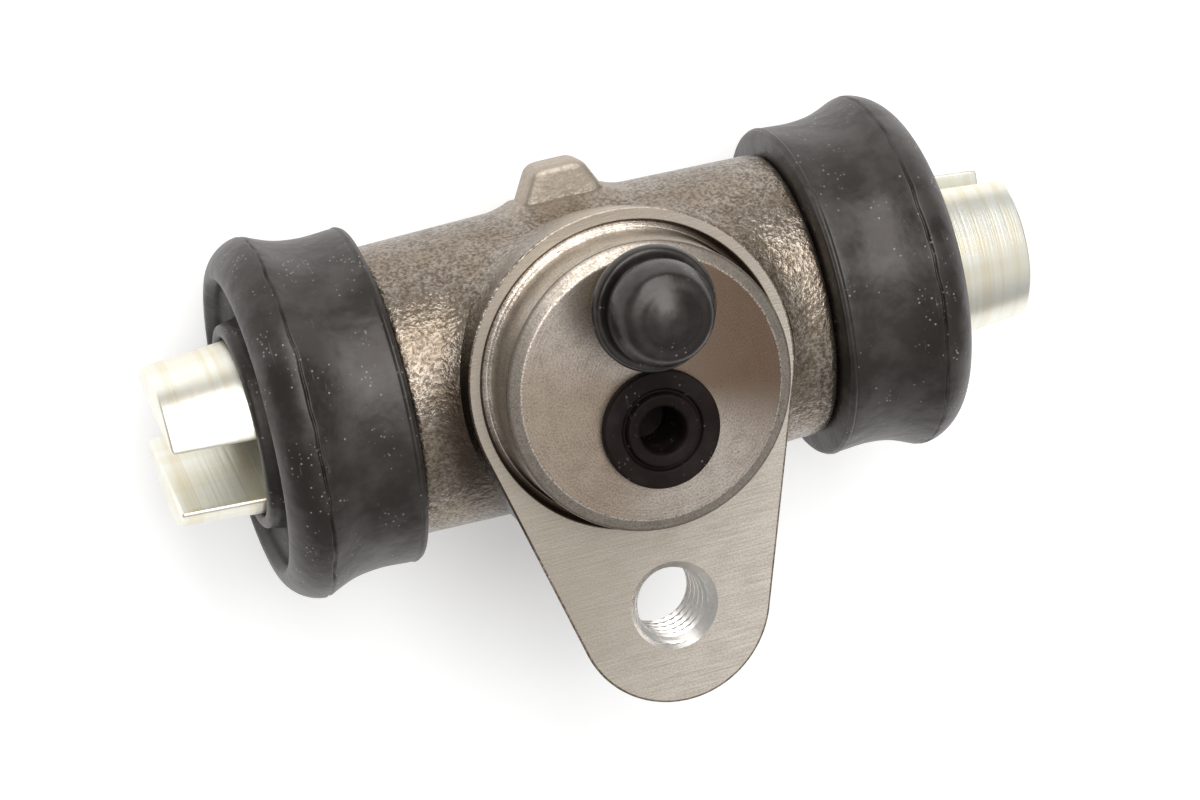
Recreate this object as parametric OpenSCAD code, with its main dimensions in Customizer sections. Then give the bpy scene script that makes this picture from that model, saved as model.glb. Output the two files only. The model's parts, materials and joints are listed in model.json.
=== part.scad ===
// Hydraulic wheel cylinder of a drum brake: a cast housing with two opposed pistons.
// The origin is the centre of the spigot on the mounting face. +Z points out along the
// spigot, X runs along the bore, and the bolt tail points to -Y. Sizes are millimetres.

/* [Housing] */
// Diameter of the bore
bore_d = 17.46; // [15.87:0.01:20.64]
// Distance from the mounting face down to the bore axis
axis_drop = 16.1; // [15:0.1:19]
// Wall of the turned necks that carry the boots
neck_wall = 4.4; // [3.8:0.1:6]
// Length of each turned neck
neck_len = 8.5; // [7.6:0.1:9]
// Half length of the cast barrel between the two necks
barrel_half = 21; // [19.5:0.1:25]
// Step from the neck up to the end of the cast barrel
shoulder_h = 1.1; // [0.6:0.1:1.6]
// Extra radius of the cast barrel at its middle, for mould draft
barrel_crown = 0.5; // [0.1:0.1:1.2]
// Chamfer at each mouth of the bore
bore_chamfer = 0.6; // [0.2:0.1:1]
// Depth of the groove in the neck that holds the boot's bead
bead_depth = 0.6; // [0.3:0.1:1]
// Width of that groove
bead_w = 2.2; // [1.5:0.1:3]
// Distance from the barrel shoulder to that groove
bead_set = 1.6; // [1.2:0.1:2.2]

/* [Flange and spigot] */
// Diameter of the round flange
flange_d = 32.2; // [31:0.1:38]
// Thickness of the flange and its tail
flange_t = 8; // [6:0.1:9.5]
// How much smaller the flange is at its back, for mould draft
flange_draft = 1.3; // [0.4:0.1:2]
// Distance from the spigot axis to the bolt hole
bolt_reach = 23.1; // [21:0.1:28]
// Radius of the tail's round end
tail_r = 9.7; // [7:0.1:12]
// Tapping diameter of the bolt hole
bolt_d = 6.8; // [5:0.1:8]
// Width of the countersink at each end of the bolt hole
bolt_sink = 0.95; // [0.4:0.05:1.4]
// Diameter of the spigot
spigot_d = 27.6; // [26.4:0.1:28.6]
// Height of the spigot above the mounting face
spigot_h = 6; // [4:0.1:8]
// Chamfer round the spigot's face
spigot_chamfer = 0.7; // [0.4:0.1:1.6]
// Width of the relief groove round the spigot's base
relief_w = 0.9; // [0.5:0.05:1.1]
// Depth of the relief groove
relief_depth = 0.9; // [0.5:0.1:1.5]
// Diameter of the boss that joins the flange to the barrel
boss_d = 25; // [22:0.5:26]
// Fillet between the boss and the back of the flange
boss_fillet = 1.6; // [0.8:0.1:2]

/* [Cast lug] */
// Width of the lug across its top
lug_top_w = 4.9; // [3:0.1:7]
// How far the lug stands out of the barrel
lug_h = 3.7; // [2:0.1:6]
// Slope of the lug's flanks
lug_slope = 28; // [15:1:35]
// Length of the lug round the barrel
lug_len = 4.5; // [3:0.5:8]

/* [Ports] */
// Offset of the inlet port from the spigot axis
inlet_set = 3.85; // [3.2:0.05:4.6]
// Tapping diameter of the inlet port
inlet_d = 9; // [8:0.1:9.4]
// Depth of the inlet port below the spigot face
inlet_depth = 9.5; // [8.5:0.1:10.5]
// Diameter of the drilling from the inlet port to the bore
feed_d = 3; // [2:0.1:4]
// Thread diameter of the bleeder screw
bleed_d = 6; // [5:0.1:6.6]
// Depth of the bleeder's threaded hole below the spigot face
bleed_depth = 9; // [7:0.1:10]
// Diameter of the drilling from the bleeder's seat to the top of the bore
vent_d = 2.4; // [1.6:0.1:3]

/* [Pistons] */
// Length of a piston
piston_len = 25; // [22:0.1:28]
// Distance from the middle of the bore to the right piston's outer end
piston_reach = 44.2; // [42:0.1:46]
// How much deeper the left piston and its cup sit in the bore
left_set = 1.2; // [0:0.1:2.4]
// Radial running clearance of a piston in the bore
piston_clear = 0.03; // [0.02:0.01:0.08]
// Length of the tapered outer end
taper_len = 10.6; // [8:0.1:12]
// How much smaller the radius gets along the taper
taper_drop = 0.85; // [0.3:0.05:1.5]
// Edge break at both ends of a piston
piston_edge = 0.3; // [0.2:0.1:1]
// Width of the slot that takes the brake shoe
slot_w = 6.8; // [5:0.1:8]
// Depth of that slot
slot_depth = 11.2; // [9:0.1:13]
// How far the left piston is swivelled on its axis
left_turn = -70; // [-180:1:180]
// How far the right piston is swivelled on its axis
right_turn = 0; // [-180:1:180]

/* [Cups and spring] */
// Radial clearance of a cup's lip in the bore
cup_clear = 0.03; // [0.02:0.01:0.08]
// Length of a cup
cup_len = 6; // [5:0.1:7]
// Thickness of a cup's floor
cup_floor = 2.6; // [2:0.1:3]
// Gap between pieces that bear on each other along the bore
seat_gap = 0.05; // [0.02:0.01:0.1]
// Sheet thickness of the cup expanders
expander_t = 0.6; // [0.4:0.1:0.8]
// Wire diameter of the spring
wire_d = 1.1; // [0.8:0.1:1.4]
// Outer diameter of the spring
spring_d = 10; // [8:0.1:10.6]
// Turns of the spring
spring_turns = 8; // [6:1:10]

/* [Boots] */
// Gap between a boot and the metal it grips or wipes
boot_gap = 0.1; // [0.05:0.01:0.2]
// Height of the boot's lip above the neck
lip_h = 3.5; // [3.2:0.1:4.2]
// Length over which the boot's lip is rounded
lip_round = 1.6; // [1.2:0.1:2]
// Height of the boot's waist above the neck
waist_h = 3.25; // [2.6:0.05:3.4]
// Distance from the barrel shoulder to the waist
waist_set = 4.3; // [3.6:0.1:5]
// Height of the boot's rim above the neck
rim_h = 4.72; // [4.2:0.1:5.6]
// Distance from the barrel shoulder to the rim
rim_set = 9.9; // [9.4:0.1:10.6]
// Length of a boot
boot_len = 13.6; // [13.2:0.1:14.4]
// Wall of the boot's hollow end
boot_wall = 1.9; // [1.5:0.1:2.2]
// Thickness of the boot's inner lip
wipe_t = 0.8; // [0.6:0.1:1.1]
// Depth of the round dish between the boot's end and its inner lip
dish_depth = 2.2; // [1.6:0.1:2.6]
// Fullness of the boot's rounded end, where 2 is an ellipse and more is squarer
end_power = 2.35; // [1.8:0.05:3]

/* [Bleeder and plugs] */
// Running clearance between the bleeder screw and its hole
bleed_clear = 0.05; // [0.03:0.01:0.1]
// Width across the flats of the bleeder's hexagon
hex_flats = 8; // [7:0.1:8.4]
// Height of the hexagon
hex_h = 3.4; // [2.6:0.1:4.5]
// Clear height between the spigot face and the hexagon
hex_lift = 1; // [0.5:0.1:2]
// Diameter of the hose nipple
nipple_d = 5.8; // [5:0.1:6]
// Height of the nipple above the hexagon
nipple_h = 5.2; // [4.6:0.1:6]
// Height of the cap's rim
cap_rim_h = 1.7; // [1.4:0.1:1.9]
// Diameter of the cap's rim
cap_rim_d = 11.8; // [11:0.1:11.8]
// Diameter of the cap's dome
cap_dome_d = 9.9; // [9.2:0.1:10.4]
// Thickness of the cap over the nipple, with its nub
cap_top = 1.8; // [1.5:0.1:2.4]
// Clearance of the cap on the nipple, and of the plug in the port
plug_clear = 0.1; // [0.05:0.01:0.2]
// Diameter of the inlet plug's flange
plug_flange_d = 11.3; // [10.6:0.1:12]
// Thickness of that flange
plug_flange_t = 1.1; // [0.8:0.1:1.6]
// Length of the plug's stem in the port
plug_stem = 7; // [5:0.1:7.6]
// Diameter of the plug's blind hole
plug_hole_d = 4.3; // [3.4:0.1:4.8]
// Width of the raised ring round that hole
plug_ring_w = 1.45; // [1:0.05:1.6]

/* [Hidden] */
$fn = 96;

over = 1;
bore_r = bore_d / 2;
neck_r = bore_r + neck_wall;
barrel_end_r = neck_r + shoulder_h;
barrel_mid_r = barrel_end_r + barrel_crown;
bore_half = barrel_half + neck_len;
flange_r = flange_d / 2;
spigot_r = spigot_d / 2;
// Where the spigot's wall starts: at the widest part of the groove's round bottom
spigot_foot = relief_w / 2 - relief_depth;
boss_r = boss_d / 2;
bolt_r = bolt_d / 2;
// The bleeder breaks into the top of the bore, where air collects.
bleed_set = bore_r;
bleed_r = bleed_d / 2;
vent_r = vent_d / 2;
piston_r = bore_r - piston_clear;
piston_back = piston_reach - piston_len;
cup_back = piston_back - seat_gap;
cup_r = bore_r - cup_clear;
cup_wall = bore_r / 8;
cup_relief = 2 * cup_wall / 3;
expander_back = cup_back - cup_floor - seat_gap;
spring_half = expander_back - expander_t - seat_gap;
hex_z = spigot_h + hex_lift;
nipple_z = hex_z + hex_h;
// Steps of the boot's rounded end
end_steps = 8;
cap_z = nipple_z + seat_gap;
cast_iron = [0.45, 0.42, 0.39];
zinc = [0.82, 0.82, 0.78];
yellow_zinc = [0.72, 0.6, 0.3];
spring_steel = [0.6, 0.6, 0.62];
rubber = [0.1, 0.09, 0.09];

// Point at t between points i and i + 1 of a Catmull-Rom curve through the list p.
function spline_point(p, i, t) =
    let (
        a = p[max(i - 1, 0)],
        b = p[i],
        c = p[i + 1],
        d = p[min(i + 2, len(p) - 1)]
    )
    b + 0.5 * t * (c - a + t * (2 * a - 5 * b + 4 * c - d + t * (3 * (b - c) + d - a)));

// Smooth curve through the list p, with n steps between its points.
function spline(p, n = 4) =
    [for (i = [0 : len(p) - 2], k = [0 : n - 1]) spline_point(p, i, k / n), p[len(p) - 1]];

// Puts a shape that runs up +Z on the bore axis, pointing to the right.
module on_bore() {
    translate([0, 0, -axis_drop])
        rotate([0, 90, 0])
            children();
}

// Puts a shape that runs up +Z on the bore axis, pointing to the left.
module on_bore_left() {
    mirror([1, 0, 0])
        on_bore()
            children();
}

// Puts the left piston, or a piece that it carries, on the bore axis.
module with_left_piston() {
    translate([left_set, 0, 0])
        on_bore_left()
            children();
}

// Swivels a piston about the bore axis.
module swivelled(turn) {
    translate([0, 0, -axis_drop])
        rotate([turn, 0, 0])
            translate([0, 0, axis_drop])
                children();
}

// One half of the barrel: the drafted cast part, the turned neck and the bead groove.
module barrel_half_solid() {
    groove_z = barrel_half + bead_set;
    rotate_extrude()
        polygon([
            [0, 0],
            [barrel_mid_r, 0],
            [barrel_end_r, barrel_half],
            [neck_r, barrel_half],
            [neck_r, groove_z],
            [neck_r - bead_depth, groove_z],
            [neck_r - bead_depth, groove_z + bead_w],
            [neck_r, groove_z + bead_w],
            [neck_r, bore_half],
            [0, bore_half]
        ]);
}

// Chamfered mouth of the bore, cut from the right end.
module bore_mouth() {
    translate([0, 0, bore_half - bore_chamfer])
        cylinder(h = bore_chamfer + over, r1 = bore_r, r2 = bore_r + bore_chamfer + over);
}

// Straight web of the tail, whose flanks are tangents to the round flange and the tail's
// round end. Tilted blocks cut the flanks to the same draft.
module tail_web() {
    lean = asin((flange_r - tail_r) / bolt_reach);
    tilt = atan(flange_draft / flange_t);
    // Keeps the cut flanks just inside the cones that they touch.
    flank_inset = 0.004;
    difference() {
        translate([0, 0, -flange_t])
            linear_extrude(flange_t)
                polygon([
                    [flange_r * cos(lean), -flange_r * sin(lean)],
                    [tail_r * cos(lean), -bolt_reach - tail_r * sin(lean)],
                    [-tail_r * cos(lean), -bolt_reach - tail_r * sin(lean)],
                    [-flange_r * cos(lean), -flange_r * sin(lean)]
                ]);
        for (side = [0, 1])
            mirror([side, 0, 0])
                rotate([0, 0, -lean])
                    translate([flange_r, 0, 0])
                        rotate([0, tilt, 0])
                            translate([-flank_inset, -2 * bolt_reach, -2 * flange_t])
                                cube([flange_r, 3 * bolt_reach, 3 * flange_t]);
    }
}

// Teardrop flange with draft: a cone at the spigot, a cone at the bolt hole and the web.
module flange() {
    translate([0, 0, -flange_t])
        cylinder(h = flange_t, r1 = flange_r - flange_draft, r2 = flange_r);
    translate([0, -bolt_reach, -flange_t])
        cylinder(h = flange_t, r1 = tail_r - flange_draft, r2 = tail_r);
    tail_web();
}

// Round boss under the flange, with a fillet against the flange's back.
module boss() {
    rotate_extrude()
        union() {
            translate([0, -axis_drop])
                square([boss_r, axis_drop - flange_t / 2]);
            difference() {
                translate([0, -flange_t - boss_fillet])
                    square([boss_r + boss_fillet, boss_fillet + flange_t / 2]);
                translate([boss_r + boss_fillet, -flange_t - boss_fillet])
                    circle(boss_fillet);
            }
        }
}

// Recess of the mounting face in which the spigot stands, with a round-bottomed relief groove at its edge.
module spigot_seat() {
    groove_r = relief_w / 2;
    rotate_extrude()
        union() {
            translate([spigot_r + groove_r, spigot_foot])
                circle(groove_r);
            translate([0, spigot_foot])
                square([spigot_r + relief_w, over - spigot_foot]);
        }
}

// Tapped bolt hole through the tail, countersunk at both ends.
module bolt_hole() {
    sink_r = bolt_r + bolt_sink;
    translate([0, -bolt_reach, 0]) {
        translate([0, 0, -flange_t - over])
            cylinder(h = flange_t + 2 * over, r = bolt_r);
        translate([0, 0, -bolt_sink])
            cylinder(h = bolt_sink + over, r1 = bolt_r, r2 = sink_r + over);
        translate([0, 0, -flange_t - over])
            cylinder(h = bolt_sink + over, r1 = sink_r + over, r2 = bolt_r);
    }
}

// Cast lug on the barrel's upper side.
module lug() {
    root_r = barrel_end_r - neck_wall / 2;
    top_r = barrel_mid_r + lug_h;
    root_w = lug_top_w + 2 * (top_r - root_r) * tan(lug_slope);
    translate([0, 0, -axis_drop - lug_len / 2])
        linear_extrude(lug_len)
            polygon([
                [-root_w / 2, root_r],
                [root_w / 2, root_r],
                [lug_top_w / 2, top_r],
                [-lug_top_w / 2, top_r]
            ]);
}

// Inlet port: tapped hole, cone point and the drilling into the bore.
module inlet_port() {
    inlet_r = inlet_d / 2;
    cone_h = (inlet_r - feed_d / 2) / 2;
    translate([0, -inlet_set, spigot_h]) {
        translate([0, 0, -inlet_depth])
            cylinder(h = inlet_depth + over, r = inlet_r);
        translate([0, 0, -inlet_depth - cone_h])
            cylinder(h = cone_h, r1 = feed_d / 2, r2 = inlet_r);
        translate([0, 0, -spigot_h - axis_drop])
            cylinder(h = axis_drop + over, r = feed_d / 2);
    }
}

// Bleeder port: tapped hole, conical seat and the drilling to the top of the bore.
module bleeder_port() {
    seat_h = bleed_r - vent_r;
    translate([0, bleed_set, spigot_h]) {
        translate([0, 0, -bleed_depth])
            cylinder(h = bleed_depth + over, r = bleed_r);
        translate([0, 0, -bleed_depth - seat_h])
            cylinder(h = seat_h, r1 = vent_r, r2 = bleed_r);
        translate([0, 0, -spigot_h - axis_drop])
            cylinder(h = axis_drop + over, r = vent_r);
    }
}

module cylinder_body() {
    color(cast_iron)
        difference() {
            union() {
                on_bore()
                    barrel_half_solid();
                on_bore_left()
                    barrel_half_solid();
                boss();
                flange();
                lug();
            }
            translate([-bore_half - over, 0, -axis_drop])
                rotate([0, 90, 0])
                    cylinder(h = 2 * (bore_half + over), r = bore_r);
            on_bore()
                bore_mouth();
            on_bore_left()
                bore_mouth();
            spigot_seat();
            bolt_hole();
            inlet_port();
            bleeder_port();
        }
}

// Turned spigot of the same casting, with its chamfered face and its two ports.
module spigot() {
    straight = spigot_h - spigot_chamfer;
    color(cast_iron)
        difference() {
            union() {
                translate([0, 0, spigot_foot])
                    cylinder(h = straight - spigot_foot, r = spigot_r);
                translate([0, 0, straight])
                    cylinder(h = spigot_chamfer, r1 = spigot_r, r2 = spigot_r - spigot_chamfer);
            }
            inlet_port();
            bleeder_port();
        }
}

// Slotted piston with a tapered outer end.
module piston() {
    end_r = piston_r - taper_drop;
    color(zinc)
        difference() {
            rotate_extrude()
                polygon([
                    [0, piston_back],
                    [piston_r - piston_edge, piston_back],
                    [piston_r, piston_back + piston_edge],
                    [piston_r, piston_reach - taper_len],
                    [end_r, piston_reach - piston_edge],
                    [end_r - piston_edge, piston_reach],
                    [0, piston_reach]
                ]);
            translate([-slot_w / 2, -piston_r - over, piston_reach - slot_depth])
                cube([slot_w, 2 * (piston_r + over), slot_depth + over]);
        }
}

// Rubber cup with its flared lip towards the middle of the bore.
module cup() {
    heel = cup_wall / 3;
    color(rubber)
        rotate_extrude()
            polygon([
                [0, cup_back],
                [cup_r - cup_relief - heel, cup_back],
                [cup_r - cup_relief, cup_back - heel],
                [cup_r, cup_back - cup_len],
                [cup_r - cup_wall, cup_back - cup_len],
                [cup_r - cup_relief - 2 * cup_wall, cup_back - cup_floor],
                [0, cup_back - cup_floor]
            ]);
}

// Pressed cone that keeps the cup's lip open and carries the spring.
module cup_expander() {
    play = cup_wall / 4;
    floor_r = cup_r - cup_relief - 2 * cup_wall - play;
    lip_r = cup_r - cup_wall - 2 * play;
    lip_back = cup_back - cup_len + expander_t;
    color(spring_steel)
        rotate_extrude()
            polygon([
                [0, expander_back],
                [floor_r, expander_back],
                [lip_r, lip_back],
                [lip_r - expander_t, lip_back],
                [floor_r - expander_t, expander_back - expander_t],
                [0, expander_back - expander_t]
            ]);
}

// Round wire swept along a helix on the bore axis.
module return_spring() {
    wire_r = wire_d / 2;
    helix_r = spring_d / 2 - wire_r;
    sides = 8;
    steps = 14;
    rings = spring_turns * steps;
    travel = spring_half - left_set / 2 - wire_r;
    pitch_lean = atan(2 * travel / spring_turns / (2 * PI * helix_r));
    points = [for (i = [0 : rings], k = [0 : sides - 1])
        let (
            turn = 360 * i / steps,
            x = -travel + 2 * travel * i / rings,
            out = wire_r * cos(360 * k / sides),
            along = wire_r * sin(360 * k / sides),
            r = helix_r + out,
            back = along * sin(pitch_lean)
        )
        [
            x + along * cos(pitch_lean),
            r * cos(turn) + back * sin(turn),
            r * sin(turn) - back * cos(turn)
        ]];
    walls = [for (i = [0 : rings - 1], k = [0 : sides - 1])
        let (next = (k + 1) % sides)
        [i * sides + k, i * sides + next, (i + 1) * sides + next, (i + 1) * sides + k]];
    first_cap = [for (k = [sides - 1 : -1 : 0]) k];
    last_cap = [for (k = [0 : sides - 1]) rings * sides + k];
    color(spring_steel)
        translate([left_set / 2, 0, -axis_drop])
            polyhedron(points, concat(walls, [first_cap, last_cap]));
}

// Moulded boot: a lip over the neck, a waist, a rim, a rounded end and an inner lip.
module boot() {
    bead_z = bead_set + boot_gap;
    bead_r = neck_r - bead_depth + boot_gap;
    bead_end = bead_set + bead_w - boot_gap;
    grip_r = neck_r + boot_gap;
    wipe_r = piston_r + boot_gap;
    tip_r = wipe_r + wipe_t;
    rim_r = neck_r + rim_h;
    waist_r = neck_r + waist_h;
    crest_r = neck_r - rim_h / 4;
    dish_r = (tip_r + crest_r) / 2;
    dish_z = boot_len - dish_depth;
    end_w = rim_r - crest_r;
    end_len = boot_len - rim_set;
    sleeve = spline([
        [neck_r + lip_h / 2, lip_round / 7],
        [neck_r + lip_h * 4 / 5, lip_round / 3],
        [neck_r + lip_h, lip_round],
        [(neck_r + lip_h + waist_r) / 2, (lip_round + waist_set) / 2],
        [waist_r, waist_set],
        [(3 * waist_r + rim_r) / 4, (waist_set + rim_set) / 2],
        [rim_r, rim_set]
    ]);
    rounded = [for (i = [1 : end_steps - 1])
        let (a = 90 * i / end_steps)
        [crest_r + end_w * pow(cos(a), 2 / end_power), rim_set + end_len * pow(sin(a), 2 / end_power)]];
    dish = spline([
        [crest_r, boot_len],
        [(3 * crest_r + dish_r) / 4, boot_len - dish_depth / 6],
        [(crest_r + 2 * dish_r) / 3, dish_z + dish_depth / 4],
        [dish_r, dish_z],
        [tip_r + wipe_t, dish_z + dish_depth / 5],
        [tip_r + wipe_t / 2, dish_z + dish_depth * 2 / 5],
        [tip_r - wipe_t / 4, dish_z + dish_depth * 3 / 5],
        [wipe_r, dish_z + dish_depth / 2]
    ]);
    inside = spline([
        [wipe_r, dish_z - boot_wall / 5],
        [tip_r - wipe_t / 8, dish_z - boot_wall * 3 / 5],
        [dish_r, dish_z - boot_wall],
        [(dish_r + crest_r) / 2, dish_z - boot_wall * 4 / 5],
        [crest_r + boot_wall / 4, boot_len - boot_wall * 4 / 3],
        [crest_r + boot_wall, boot_len - boot_wall * 3 / 2],
        [rim_r - boot_wall * 10 / 9, rim_set + boot_wall / 2],
        [rim_r - boot_wall * 3 / 2, rim_set - boot_wall / 3],
        [grip_r, neck_len - boot_wall / 3]
    ]);
    bead = [
        [grip_r, bead_end],
        [bead_r, bead_end],
        [bead_r, bead_z],
        [grip_r, bead_z]
    ];
    color(rubber)
        translate([0, 0, barrel_half])
            rotate_extrude()
                polygon(concat(sleeve, rounded, dish, inside, bead));
}

// Bleeder screw: conical tip, threaded shank, hexagon, neck and hose nipple.
module bleeder_screw() {
    shank_r = bleed_r - bleed_clear;
    nipple_r = nipple_d / 2;
    neck_h = nipple_h / 5;
    duct_r = vent_r * 3 / 4;
    // The tip and the shank's end are cones of 45 degrees, so they seat on the port's cone.
    tip_r = vent_r - bleed_clear;
    tip_h = shank_r - tip_r;
    tip_z = spigot_h - bleed_depth - tip_h + bleed_clear;
    color(yellow_zinc)
        translate([0, bleed_set, 0])
            difference() {
                union() {
                    translate([0, 0, tip_z])
                        cylinder(h = tip_h, r1 = tip_r, r2 = shank_r);
                    translate([0, 0, tip_z + tip_h])
                        cylinder(h = hex_z - tip_z - tip_h, r = shank_r);
                    translate([0, 0, hex_z])
                        cylinder(h = hex_h, r = hex_flats / 2 / cos(30), $fn = 6);
                    translate([0, 0, nipple_z])
                        cylinder(h = neck_h, r = nipple_r * 4 / 5);
                    translate([0, 0, nipple_z + neck_h])
                        cylinder(h = (nipple_h - neck_h) / 2, r = nipple_r);
                    translate([0, 0, nipple_z + (nipple_h + neck_h) / 2])
                        cylinder(h = (nipple_h - neck_h) / 2, r1 = nipple_r, r2 = nipple_r * 3 / 4);
                }
                translate([0, 0, tip_z + 2 * tip_h])
                    cylinder(h = nipple_z + nipple_h + over - tip_z - 2 * tip_h, r = duct_r);
                translate([-shank_r - over, 0, tip_z + 2 * tip_h + duct_r])
                    rotate([0, 90, 0])
                        cylinder(h = 2 * (shank_r + over), r = duct_r);
            }
}

// Rubber cap on the nipple: a rim, a groove, a domed top and a nub.
module bleeder_cap() {
    hollow_r = nipple_d / 2 + plug_clear;
    hollow_h = nipple_h + seat_gap;
    rim_r = cap_rim_d / 2;
    dome_r = cap_dome_d / 2;
    top_h = hollow_h + cap_top;
    nub_r = dome_r / 2;
    nub_h = cap_top / 3;
    groove_w = cap_rim_h / 3;
    edge = rim_r / 8;
    outside = spline([
        [rim_r - edge, 0],
        [rim_r - edge / 5, edge / 2],
        [rim_r, cap_rim_h * 3 / 5],
        [rim_r - edge / 2, cap_rim_h],
        [dome_r - edge / 2, cap_rim_h],
        [dome_r - edge / 2, cap_rim_h + groove_w],
        [dome_r, cap_rim_h + 2 * groove_w],
        [dome_r - edge / 4, top_h * 3 / 5],
        [dome_r - edge * 5 / 4, top_h * 4 / 5],
        [nub_r + edge / 2, top_h - 3 * nub_h / 2],
        [nub_r - edge / 4, top_h - nub_h],
        [nub_r / 2, top_h - nub_h / 4],
        [0, top_h]
    ]);
    color(rubber)
        translate([0, bleed_set, cap_z])
            rotate_extrude()
                polygon(concat(outside, [[0, hollow_h], [hollow_r, hollow_h], [hollow_r, 0]]));
}

// Rubber transit plug in the inlet port: flange, raised ring, stem and blind hole.
module inlet_plug() {
    flange_edge = plug_flange_d / 2;
    stem_r = inlet_d / 2 - plug_clear;
    hole_r = plug_hole_d / 2;
    ring_r = hole_r + plug_ring_w;
    // The flange's edge round, the ring's rise and the gutter beside the ring.
    edge = plug_flange_t / 3;
    ring_top = plug_flange_t + edge;
    gutter = plug_flange_t - edge;
    point_h = plug_stem / 6;
    color(rubber)
        translate([0, -inlet_set, spigot_h])
            rotate_extrude()
                polygon([
                    [0, -plug_stem],
                    [stem_r - 2 * edge, -plug_stem],
                    [stem_r, -plug_stem + point_h],
                    [stem_r, 0],
                    [flange_edge - edge / 3, 0],
                    [flange_edge, edge / 2],
                    [flange_edge, plug_flange_t - edge],
                    [flange_edge - edge, plug_flange_t],
                    [ring_r + edge, plug_flange_t],
                    [ring_r + edge / 2, gutter],
                    [ring_r, gutter],
                    [ring_r - edge / 2, ring_top - edge / 2],
                    [ring_r - 3 * edge / 2, ring_top],
                    [hole_r + edge, ring_top - edge],
                    [hole_r, plug_flange_t - edge],
                    [hole_r, point_h - plug_stem],
                    [0, point_h - plug_stem]
                ]);
}

// A piston's slot lies across Y before it is swivelled.
module left_piston() {
    swivelled(left_turn)
        with_left_piston()
            piston();
}

module right_piston() {
    swivelled(right_turn)
        on_bore()
            piston();
}

module left_cup() {
    with_left_piston()
        cup();
}

module right_cup() {
    on_bore()
        cup();
}

module left_cup_expander() {
    with_left_piston()
        cup_expander();
}

module right_cup_expander() {
    on_bore()
        cup_expander();
}

module left_boot() {
    on_bore_left()
        boot();
}

module right_boot() {
    on_bore()
        boot();
}

cylinder_body();
spigot();
left_piston();
right_piston();
left_cup();
right_cup();
left_cup_expander();
right_cup_expander();
return_spring();
left_boot();
right_boot();
bleeder_screw();
bleeder_cap();
inlet_plug();
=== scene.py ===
# %% [markdown]
# # A wheel cylinder, dressed for the camera
#
# A wheel cylinder pushes the shoes of a drum brake apart. Its housing is an iron casting with a few machined
# faces, its pistons are zinc plated steel, and everything soft on it is black moulded rubber. The solids come
# from a CAD frame, and this lesson gives them the edges, fillets, threads and finishes that the camera sees.

# %% The frame
import json
import math

import bmesh
import bpy
import numpy as np
from mathutils import Matrix, Vector


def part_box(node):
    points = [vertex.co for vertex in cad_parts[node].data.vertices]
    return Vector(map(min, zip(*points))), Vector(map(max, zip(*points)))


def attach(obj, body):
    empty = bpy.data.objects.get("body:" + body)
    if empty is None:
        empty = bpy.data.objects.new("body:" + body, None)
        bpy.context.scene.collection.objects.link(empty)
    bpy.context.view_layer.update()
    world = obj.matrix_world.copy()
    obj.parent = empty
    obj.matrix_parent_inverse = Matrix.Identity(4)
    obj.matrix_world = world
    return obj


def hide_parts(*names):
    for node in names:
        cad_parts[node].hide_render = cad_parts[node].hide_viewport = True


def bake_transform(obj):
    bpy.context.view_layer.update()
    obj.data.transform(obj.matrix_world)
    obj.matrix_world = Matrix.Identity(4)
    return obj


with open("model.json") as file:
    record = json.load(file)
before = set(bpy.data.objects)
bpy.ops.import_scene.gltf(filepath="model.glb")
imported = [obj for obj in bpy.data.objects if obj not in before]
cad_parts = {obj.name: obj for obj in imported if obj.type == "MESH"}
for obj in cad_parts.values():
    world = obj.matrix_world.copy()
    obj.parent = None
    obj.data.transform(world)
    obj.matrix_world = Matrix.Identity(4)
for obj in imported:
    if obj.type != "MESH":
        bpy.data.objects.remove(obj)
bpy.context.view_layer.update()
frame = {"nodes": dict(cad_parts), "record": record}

MM = 0.001
print("CAD nodes:", ", ".join(sorted(frame["nodes"])))

# %% [markdown]
# ## Sizes from the frame
#
# A dressed piece has to sit exactly where its solid sits. So the sizes are read off the frame's boxes and
# mounts where they can be, in millimetres, and only what a box can't tell is written down beside the piece
# that needs it.

# %% Sizes of the housing and the pistons
mounts = {mount["name"]: mount for mount in frame["record"]["mounts"]}


def box_mm(node):
    """Lowest and highest corner of a CAD node, in millimetres."""
    low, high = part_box(node)
    return np.array(low) / MM, np.array(high) / MM


body_low, body_high = box_mm("cylinder_body")
cup_low, cup_high = box_mm("right_cup")
piston_low, piston_high = box_mm("right_piston")
axis_z = (cup_low[2] + cup_high[2]) / 2
bore_half = body_high[0]
barrel_mid_r = axis_z - body_low[2]
spigot_h = box_mm("spigot")[1][2]
spigot_r = mounts["spigot"]["dims"]["r_mm"]
bolt_r = mounts["mount_bolt"]["dims"]["r_mm"]
bolt_y = mounts["mount_bolt"]["pos_m"][1] / MM
flange_t = -2 * mounts["mount_bolt"]["pos_m"][2] / MM
tail_r = bolt_y - body_low[1]
inlet_y = mounts["inlet_port"]["pos_m"][1] / MM
bleed_y = mounts["bleed_nipple"]["pos_m"][1] / MM
piston_r = (piston_high[1] - piston_low[1]) / 2
piston_back, piston_reach = piston_low[0], piston_high[0]
left_set = piston_reach + box_mm("left_piston")[0][0]
print(f"bore axis at z {axis_z:.2f} mm, spigot radius {spigot_r:.2f} mm, piston radius {piston_r:.2f} mm")

# %% [markdown]
# ## From grids of points to a mesh
#
# Every new piece here is one or more grids: rows and columns of points worked out by a formula. Neighbouring
# rows and columns make quads. Grids that share an edge are stitched by merging points that fall on each
# other, which also closes the seam of a turned shape and the pole in the middle of a disc. Faces that meet at
# a steep angle keep a crisp edge, and the rest is shaded smooth.

# %% Mesh helpers
SMOOTH_UNDER = math.radians(32)
MERGE = 0.0004 * MM
NO_LENGTH = 1e-9
SIDES = (("left", -1), ("right", 1))


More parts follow.
